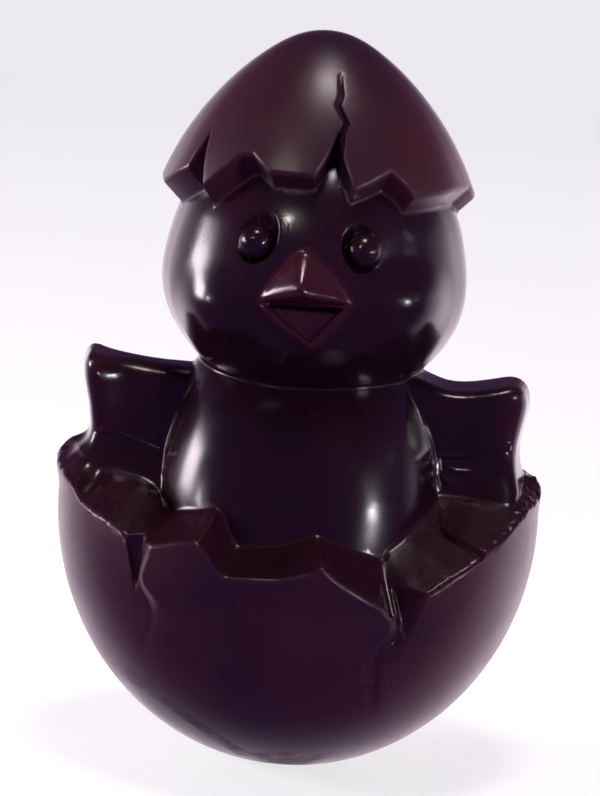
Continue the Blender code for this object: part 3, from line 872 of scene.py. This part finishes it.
def cap(p):
    skin = soft_min(cap_form(p, 0.984, 1.0), cap_form(p, 1.0, 0.78), 0.4)
    x, y, z = p[:, 0], p[:, 1] / CAP_DEPTH, p[:, 2]
    degrees = np.degrees(np.arctan2(x, -y))
    degrees = np.where(degrees < -90.0, degrees + 360.0, degrees)
    edge = np.interp(degrees, CAP_DEGREES, CAP_HEIGHTS)
    near = np.interp(degrees - 0.4, CAP_DEGREES, CAP_HEIGHTS)
    fall = np.interp(degrees + 0.4, CAP_DEGREES, CAP_HEIGHTS) - near
    around = np.abs(fall) / (0.8 * math.pi / 180.0 * 28.0)
    radius = np.sqrt(cap_swell(edge)[0])
    at_front, at_side = CAP_FACE_SLOPE
    slope = at_front + (at_side - at_front) * smooth_step(12.0, 34.0, np.abs(degrees))
    height = edge - slope * (radius - np.hypot(x, y))
    cut = (height - z) / np.sqrt(1.0 + slope**2 + around**2)
    d = chamfered(skin, cut.astype(np.float32), 0.32, 0.25)
    return groove(d, skin, p, CAP_CRACK, 0.4)


def figure(p):
    """Signed distance in mm from each point to the figure's skin, below nought inside."""
    p = np.asarray(p, np.float32)
    d = bowl(p)
    low = p[:, 2] < 96.0
    q = p[low]
    body = torso(q)
    for side in (-1, 1):
        near = within(q, (10, -30, 44), (52, 20, 90)) if side > 0 else within(q, (-52, -30, 44), (-10, 20, 90))
        body[near] = soft_min(body[near], wing(q[near], side), 0.7)
    wide = 1.0 + 2.2 * smooth_step(-29.0, -38.0, q[:, 0])
    d[low] = soft_min(d[low], body, wide)
    high = p[:, 2] > 70.0
    d[high] = soft_min(d[high], head(p[high]), 1.0)
    top = p[:, 2] > 108.0
    d[top] = soft_min(d[top], cap(p[top]), 0.7)
    return d


# ---------------------------------------------------------------- meshing


def upsampled(values):
    for axis in range(3):
        values = np.moveaxis(values, axis, 0)
        wide = np.empty((2 * len(values) - 1, *values.shape[1:]), np.float32)
        wide[::2] = values
        wide[1::2] = 0.5 * (values[:-1] + values[1:])
        values = np.moveaxis(wide, 0, axis)
    return np.ascontiguousarray(values)


def grid_points(index, low, step):
    return np.array(low, np.float32) + index.astype(np.float32) * np.float32(step)


def sampled_field(low, high, step, levels=3):
    """The field on a grid, worked out in full on a coarse one and then only near the skin."""
    coarse = step * 2**levels
    counts = [int(math.ceil((b - a) / coarse)) + 1 for a, b in zip(low, high)]
    index = np.indices(counts).reshape(3, -1).T
    field = figure(grid_points(index, low, coarse)).reshape(counts)
    for level in range(levels):
        coarse *= 0.5
        field = upsampled(field)
        near = np.argwhere(np.abs(field) < 3.0 * coarse)
        for start in range(0, len(near), 400_000):
            part = near[start : start + 400_000]
            field[tuple(part.T)] = figure(grid_points(part, low, coarse))
    return field


def surface_net(field, low, step):
    """Points and four-sided faces of the surface where the field is nought."""
    inside = field < 0
    count = np.zeros([n - 1 for n in field.shape], np.uint8)
    corners = [(i, j, k) for i in (0, 1) for j in (0, 1) for k in (0, 1)]
    size = count.shape
    for i, j, k in corners:
        count += inside[i : i + size[0], j : j + size[1], k : k + size[2]]
    cells = np.argwhere((count > 0) & (count < 8))
    number = np.full(size, -1, np.int32)
    number[tuple(cells.T)] = np.arange(len(cells))
    value = {c: field[tuple((cells + np.array(c)).T)] for c in corners}
    total = np.zeros((len(cells), 3), np.float32)
    crossings = np.zeros(len(cells), np.float32)
    for a in corners:
        for axis in range(3):
            if a[axis]:
                continue
            b = tuple(1 if n == axis else c for n, c in enumerate(a))
            cross = (value[a] < 0) != (value[b] < 0)
            t = np.where(cross, value[a] / np.where(cross, value[a] - value[b], 1.0), 0.0)
            place = np.array(a, np.float32) + t[:, None] * np.eye(3, dtype=np.float32)[axis]
            total += np.where(cross[:, None], place, 0.0)
            crossings += cross
    points = np.array(low) + (cells + total / crossings[:, None]) * step
    faces = []
    for axis in range(3):
        first = [slice(None)] * 3
        second = [slice(None)] * 3
        first[axis], second[axis] = slice(None, -1), slice(1, None)
        a, b = inside[tuple(first)], inside[tuple(second)]
        for enters in (False, True):
            edge = np.argwhere((a == enters) & (b != enters))
            u, v = (axis + 1) % 3, (axis + 2) % 3
            edge = edge[(edge[:, u] > 0) & (edge[:, v] > 0)]
            edge = edge[(edge[:, u] < size[u]) & (edge[:, v] < size[v])]
            ring = []
            for du, dv in ((1, 1), (0, 1), (0, 0), (1, 0)):
                cell = edge.copy()
                cell[:, u] -= du
                cell[:, v] -= dv
                ring.append(number[tuple(cell.T)])
            quads = np.stack(ring, axis=1)
            faces.append(quads if enters else quads[:, ::-1])
    return points, np.concatenate(faces)


def slope_of(p, reach):
    """Unit outward direction of the field at each point, and the field's length of slope."""
    ways = ((1, -1, -1), (-1, -1, 1), (-1, 1, -1), (1, 1, 1))
    total = np.zeros((len(p), 3), np.float32)
    for way in ways:
        way = np.array(way, np.float32)
        total += way * figure(p + way * np.float32(reach))[:, None]
    total /= 4.0 * reach
    length = np.maximum(np.linalg.norm(total, axis=1), 1e-3)
    return total / length[:, None], length


def settled(points, turns=2):
    """The points moved onto the skin itself."""
    for _ in range(turns):
        normal, length = slope_of(points, 0.1)
        shift = np.clip(figure(points) / np.maximum(length, 0.5), -0.5 * GRID_STEP, 0.5 * GRID_STEP)
        points = points - normal * shift[:, None]
    return points


def mesh_of(name, points, faces):
    mesh = bpy.data.meshes.new(name)
    mesh.vertices.add(len(points))
    mesh.vertices.foreach_set("co", (points * METRES).astype(np.float32).ravel())
    mesh.loops.add(faces.size)
    mesh.loops.foreach_set("vertex_index", faces.astype(np.int32).ravel())
    mesh.polygons.add(len(faces))
    mesh.polygons.foreach_set("loop_start", np.arange(0, faces.size, faces.shape[1], dtype=np.int32))
    mesh.update(calc_edges=True)
    mesh.validate()
    return mesh


def thinned(obj, most):
    mesh = obj.data
    mesh.calc_loop_triangles()
    have = len(mesh.loop_triangles)
    if have <= most:
        return
    modifier = obj.modifiers.new("thin", "DECIMATE")
    modifier.ratio = most / have
    graph = bpy.context.evaluated_depsgraph_get()
    obj.data = bpy.data.meshes.new_from_object(obj.evaluated_get(graph))
    obj.modifiers.clear()


def points_of(mesh):
    flat = np.empty(len(mesh.vertices) * 3, np.float32)
    mesh.vertices.foreach_get("co", flat)
    return flat.reshape(-1, 3) / np.float32(METRES)


def add_value(mesh, name, values):
    attribute = mesh.attributes.new(name, "FLOAT", "POINT")
    attribute.data.foreach_set("value", values.astype(np.float32))


def broken_share(p):
    """How much each point lies on a broken face of the shell, from 0 to 1."""
    skin = bowl_skin(p)
    cut = rim_cut(p)
    share = smooth_step(-0.3, 0.5, cut - skin) * smooth_step(1.2, 0.4, np.abs(bowl(p)))
    share = np.maximum(share, smooth_step(43.5, 45.5, p[:, 0]) * smooth_step(-1.3, -0.6, cut))
    return share * smooth_step(76.0, 72.0, p[:, 2])


def shell_share(p):
    """How much each point belongs to the eggshell rather than to the chick."""
    low = smooth_step(0.9, 0.3, bowl(p)) * smooth_step(72.0, 68.0, p[:, 2])
    high = smooth_step(0.9, 0.3, cap(p)) * smooth_step(112.0, 116.0, p[:, 2])
    return np.maximum(low, high)


def beak_and_lit_lip_share(p):
    """How much each point is on the beak, which is painted redder, or on a wing's outer lip, where the lighter red
    is painted light that the lip catches.
    """
    beak = smooth_step(1.0, 0.2, np.minimum(convex(p, UPPER_BEAK_PLANES, 0.5), convex(p, LOWER_BEAK_PLANES, 0.5)))
    # Painted light: the wings' outer lips, lit from the sides, get a lighter red.
    tips = smooth_step(37.0, 43.0, np.abs(p[:, 0])) * smooth_step(64.0, 70.0, p[:, 2])
    return np.maximum(beak, 0.7 * tips * smooth_step(90.0, 88.0, p[:, 2]))


def scuff_share(p):
    """The dull, scraped strip low on the front left of the foot."""
    angle = np.degrees(np.arctan2(p[:, 0], -p[:, 1]))
    middle = 3.0 + 17.0 * smooth_step(-12.0, -58.0, angle)
    wander = 1.5 * lattice_noise(p, 6.0, 21) + 0.7 * lattice_noise(p, 2.0, 22)
    strip = smooth_step(3.4, 2.2, np.abs(p[:, 2] - middle + wander))
    return strip * smooth_step(-62.0, -50.0, angle) * smooth_step(34.0, 18.0, angle)


def chick():
    low, high = (-54.0, -50.0, -2.0), (54.0, 50.0, 153.0)
    field = sampled_field(low, high, GRID_STEP)
    points, faces = surface_net(field, low, GRID_STEP)
    points = settled(points)
    obj = bpy.data.objects.new("chick_chocolate", mesh_of("chick_chocolate", points, faces))
    bpy.context.scene.collection.objects.link(obj)
    thinned(obj, MOST_TRIANGLES)
    mesh = obj.data
    at = points_of(mesh)
    mesh.shade_smooth()
    normal, _ = slope_of(at, 0.12)
    mesh.normals_split_custom_set_from_vertices(normal)
    add_value(mesh, "broken", broken_share(at))
    add_value(mesh, "scuffed", scuff_share(at))
    add_value(mesh, "shell", shell_share(at))
    add_value(mesh, "beak_and_lit_lips", beak_and_lit_lip_share(at))
    return obj


# ---------------------------------------------------------------- material


class Nodes:
    """Short calls to add and link the nodes of one material."""

    def __init__(self, name):
        self.material = bpy.data.materials.new(name)
        self.material.use_nodes = True
        self.tree = self.material.node_tree
        self.shader = self.tree.nodes["Principled BSDF"]

    def add(self, kind, links=None, **settings):
        node = self.tree.nodes.new(kind)
        for name, value in settings.items():
            setattr(node, name, value)
        for socket, value in (links or {}).items():
            if isinstance(value, bpy.types.NodeSocket):
                self.tree.links.new(value, node.inputs[socket])
            else:
                node.inputs[socket].default_value = value
        return node

    def math(self, operation, a, b=0.0, clamp=False):
        return self.add("ShaderNodeMath", {0: a, 1: b}, operation=operation, use_clamp=clamp).outputs[0]

    def blend(self, share, a, b):
        node = self.add("ShaderNodeMix", {0: share, 6: a, 7: b}, data_type="RGBA")
        return node.outputs[2]

    def noise(self, place, scale, detail=2.0, rough=0.5):
        links = {"Vector": place, "Scale": scale, "Detail": detail, "Roughness": rough}
        return self.add("ShaderNodeTexNoise", links).outputs["Fac"]

    def ranged(self, value, low, high, to_low=0.0, to_high=1.0):
        links = {0: value, 1: low, 2: high, 3: to_low, 4: to_high}
        return self.add("ShaderNodeMapRange", links, clamp=True).outputs[0]


def chocolate():
    n = Nodes("dark_chocolate")
    place = n.add("ShaderNodeTexCoord").outputs["Object"]
    broken = n.add("ShaderNodeAttribute", attribute_name="broken").outputs["Fac"]
    scuffed = n.add("ShaderNodeAttribute", attribute_name="scuffed").outputs["Fac"]

    clouds = n.noise(place, 45.0, 3.0)
    streaks = n.noise(place, 210.0, 4.0, 0.6)
    shell = n.add("ShaderNodeAttribute", attribute_name="shell").outputs["Fac"]
    beak_and_lit_lips = n.add("ShaderNodeAttribute", attribute_name="beak_and_lit_lips").outputs["Fac"]
    plum, brown, red = (0.016, 0.0036, 0.0095, 1), (0.026, 0.0055, 0.0105, 1), (0.023, 0.0037, 0.0080, 1)
    shell_plum, shell_brown = (0.038, 0.0120, 0.0245, 1), (0.066, 0.0165, 0.0225, 1)
    mottle = n.ranged(clouds, 0.35, 0.65)
    colour = n.blend(shell, n.blend(mottle, plum, brown), n.blend(mottle, shell_plum, shell_brown))
    # Painted light: the shell's right side is made lighter and browner, mottled by the clouds.
    across = n.add("ShaderNodeSeparateXYZ", {0: place}).outputs[0]
    painted_right_light = n.math("MULTIPLY", n.math("MULTIPLY", shell, n.ranged(across, 0.014, 0.032)), n.ranged(clouds, 0.3, 0.5))
    colour = n.blend(n.math("MULTIPLY", painted_right_light, 0.8), colour, (0.088, 0.0200, 0.0215, 1))
    # The beak is painted redder, and the wings' outer lips get the same lighter red as painted light.
    colour = n.blend(beak_and_lit_lips, colour, (0.056, 0.0110, 0.0180, 1))
    colour = n.blend(n.math("MULTIPLY", broken, 0.8), colour, red)
    dusty = n.math("MULTIPLY", scuffed, n.ranged(streaks, 0.3, 0.6))
    colour = n.blend(n.math("MULTIPLY", dusty, 0.35), colour, (0.080, 0.048, 0.066, 1))
    n.tree.links.new(colour, n.shader.inputs["Base Color"])

    rough = n.ranged(n.noise(place, 120.0, 4.0, 0.6), 0.3, 0.7, 0.17, 0.25)
    rough = n.math("ADD", rough, n.math("MULTIPLY", shell, 0.12))
    rough = n.math("SUBTRACT", rough, n.math("MULTIPLY", broken, 0.06))
    rough = n.math("ADD", rough, n.math("MULTIPLY", dusty, 0.22))
    n.tree.links.new(rough, n.shader.inputs["Roughness"])

    pits = n.add("ShaderNodeTexVoronoi", {"Vector": place, "Scale": 900.0}, feature="F1").outputs["Distance"]
    pits = n.ranged(pits, 0.0, 0.22)
    grain = n.noise(place, 1500.0, 2.0)
    height = n.math("ADD", n.math("MULTIPLY", pits, 0.5), n.math("MULTIPLY", grain, 0.5))
    height = n.math("ADD", height, n.math("MULTIPLY", n.math("MULTIPLY", dusty, streaks), 3.0))
    height = n.math("ADD", height, n.math("MULTIPLY", n.math("MULTIPLY", broken, n.noise(place, 700.0, 4.0)), 1.3))
    bump = n.add("ShaderNodeBump", {"Height": height, "Strength": 0.35, "Distance": 0.00006})
    n.tree.links.new(bump.outputs["Normal"], n.shader.inputs["Normal"])
    n.shader.inputs["IOR"].default_value = 1.50
    n.shader.inputs["Coat Weight"].default_value = 0.0
    return n.material


# ---------------------------------------------------------------- studio


def plain(name, colour, rough, glow):
    n = Nodes(name)
    n.shader.inputs["Emission Color"].default_value = (*colour, 1.0)
    n.shader.inputs["Emission Strength"].default_value = glow
    n.shader.inputs["Base Color"].default_value = (*colour, 1.0)
    n.shader.inputs["Roughness"].default_value = rough
    return n.material


def sweep():
    """A round pale floor that curves up into a wall all round."""
    flat, turn, top, parts = 1.2, 0.5, 2.4, 96
    profile = [(0.0, 0.0), (flat, 0.0)]
    for step in range(1, 17):
        angle = 0.5 * math.pi * step / 16
        profile.append((flat + turn * math.sin(angle), turn * (1.0 - math.cos(angle))))
    profile.append((flat + turn, top))
    points, faces = [], []
    for radius, z in profile:
        for part in range(parts):
            angle = 2.0 * math.pi * part / parts
            points.append((radius * math.cos(angle), radius * math.sin(angle), z))
    for row in range(len(profile) - 1):
        for part in range(parts):
            a, b = row * parts + part, row * parts + (part + 1) % parts
            faces.append((a, a + parts, b + parts, b) if row else (0, a + parts, b + parts))
    mesh = bpy.data.meshes.new("floor")
    mesh.from_pydata(points, [], faces)
    mesh.validate()
    mesh.shade_smooth()
    mesh.materials.append(plain("pale_floor", (0.80, 0.81, 0.80), 0.6, 0.90))
    obj = bpy.data.objects.new("floor", mesh)
    bpy.context.scene.collection.objects.link(obj)
    return obj


FIGURE_MIDDLE = Vector((0.0, 0.0, 0.075))


def softbox(name, azimuth, elevation, distance, width, height, power, colour=(1, 1, 1)):
    """An area light that faces the figure. Azimuth is in degrees from the front, towards the right."""
    light = bpy.data.lights.new(name, "AREA")
    light.shape = "RECTANGLE"
    light.size, light.size_y = width, height
    light.energy = power
    light.color = colour
    obj = bpy.data.objects.new(name, light)
    turn, rise = math.radians(azimuth), math.radians(elevation)
    way = Vector((math.sin(turn) * math.cos(rise), -math.cos(turn) * math.cos(rise), math.sin(rise)))
    obj.location = FIGURE_MIDDLE + way * distance
    obj.visible_camera = False
    obj.rotation_euler = (-way).to_track_quat("-Z", "Y").to_euler()
    bpy.context.scene.collection.objects.link(obj)
    return obj


def snoot(name, azimuth, elevation, distance, target, angle, radius, power, colour):
    """A narrow beam on one spot of the figure."""
    light = bpy.data.lights.new(name, "SPOT")
    light.spot_size = math.radians(angle)
    light.spot_blend = 0.8
    light.shadow_soft_size = radius
    light.energy = power
    light.color = colour
    obj = bpy.data.objects.new(name, light)
    turn, rise = math.radians(azimuth), math.radians(elevation)
    way = Vector((math.sin(turn) * math.cos(rise), -math.cos(turn) * math.cos(rise), math.sin(rise)))
    obj.location = Vector(target) + way * distance
    obj.visible_camera = False
    obj.rotation_euler = (-way).to_track_quat("-Z", "Y").to_euler()
    bpy.context.scene.collection.objects.link(obj)
    return obj


def surroundings():
    """Dim plum in front and above, white at eye level behind and at the sides."""
    world = bpy.data.worlds.new("studio")
    bpy.context.scene.world = world
    world.use_nodes = True
    n = Nodes.__new__(Nodes)
    n.tree = world.node_tree
    background = n.tree.nodes["Background"]
    place = n.add("ShaderNodeTexCoord").outputs["Generated"]
    split = n.add("ShaderNodeSeparateXYZ", {0: place})
    aside = n.math("MULTIPLY", split.outputs[0], 0.12)
    behind = n.ranged(n.math("ADD", split.outputs[1], aside), 0.14, 0.76)
    level = n.math("MULTIPLY", n.ranged(split.outputs[2], 0.34, 0.06), n.ranged(split.outputs[2], -1.0, -0.35, 0.25, 1.0))
    above = n.ranged(split.outputs[2], 0.2, 0.9)
    dim = n.blend(above, (0.12, 0.050, 0.21, 1), (0.05, 0.030, 0.055, 1))
    colour = n.blend(n.math("MULTIPLY", behind, level), dim, (1.85, 1.55, 1.78, 1))
    n.tree.links.new(colour, background.inputs[0])
    background.inputs[1].default_value = 1.0


def camera():
    """The photograph's view: 10 degrees above level, a little from the left, tilted by 3.6 degrees."""
    rise, roll, turn, distance = math.radians(10.0), math.radians(3.6), math.radians(2.5), 0.700
    ahead = Vector((-math.sin(turn) * math.cos(rise), math.cos(turn) * math.cos(rise), -math.sin(rise)))
    right = Vector((math.cos(turn), math.sin(turn), 0.0))
    up = right.cross(ahead)
    image_right = right * math.cos(roll) + up * math.sin(roll)
    image_up = up * math.cos(roll) - right * math.sin(roll)
    data = bpy.data.cameras.new("camera")
    focal_pixels = 700.0 / 0.2041
    data.sensor_width = 36.0
    data.sensor_fit = "AUTO"
    data.lens = data.sensor_width * focal_pixels / IMAGE_HEIGHT
    data.shift_x = -4.9 / IMAGE_HEIGHT
    obj = bpy.data.objects.new("camera", data)
    matrix = Matrix((image_right, image_up, -ahead)).transposed().to_4x4()
    matrix.translation = FIGURE_MIDDLE - ahead * distance
    obj.matrix_world = matrix
    bpy.context.scene.collection.objects.link(obj)
    bpy.context.scene.camera = obj


figure_piece = chick()
figure_piece.data.materials.append(chocolate())
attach(figure_piece, "root")
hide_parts("chocolate_chick")

floor = sweep()
floor.visible_glossy = False
floor.visible_diffuse = False
floor.visible_shadow = False
PINK = (1.0, 0.88, 0.96)
softbox("left_box", -94, 9, 0.9, 0.28, 0.26, 4.6, PINK)
softbox("top_box", 20, 80, 0.9, 0.22, 0.16, 2.4, PINK)
snoot("face_snoot", -25, 37, 0.5, (-0.004, -0.026, 0.118), 2.8, 0.026, 7.5, (1.0, 0.95, 0.84))
snoot("temple_snoot", 82, 20, 0.35, (0.024, -0.013, 0.116), 1.6, 0.045, 3.6, PINK)
snoot("cheek_snoot", 76, 9, 0.35, (0.022, -0.018, 0.103), 1.6, 0.037, 3.4, PINK)
snoot("belly_snoot", -76, 3, 0.9, (-0.020, -0.018, 0.058), 4.4, 0.140, 66.0, PINK)
snoot("breast_snoot", 55, 5, 0.9, (0.012, -0.026, 0.055), 4.4, 0.190, 400.0, (1.0, 0.96, 1.0))
surroundings()
camera()
bpy.context.scene.view_settings.view_transform = "Standard"
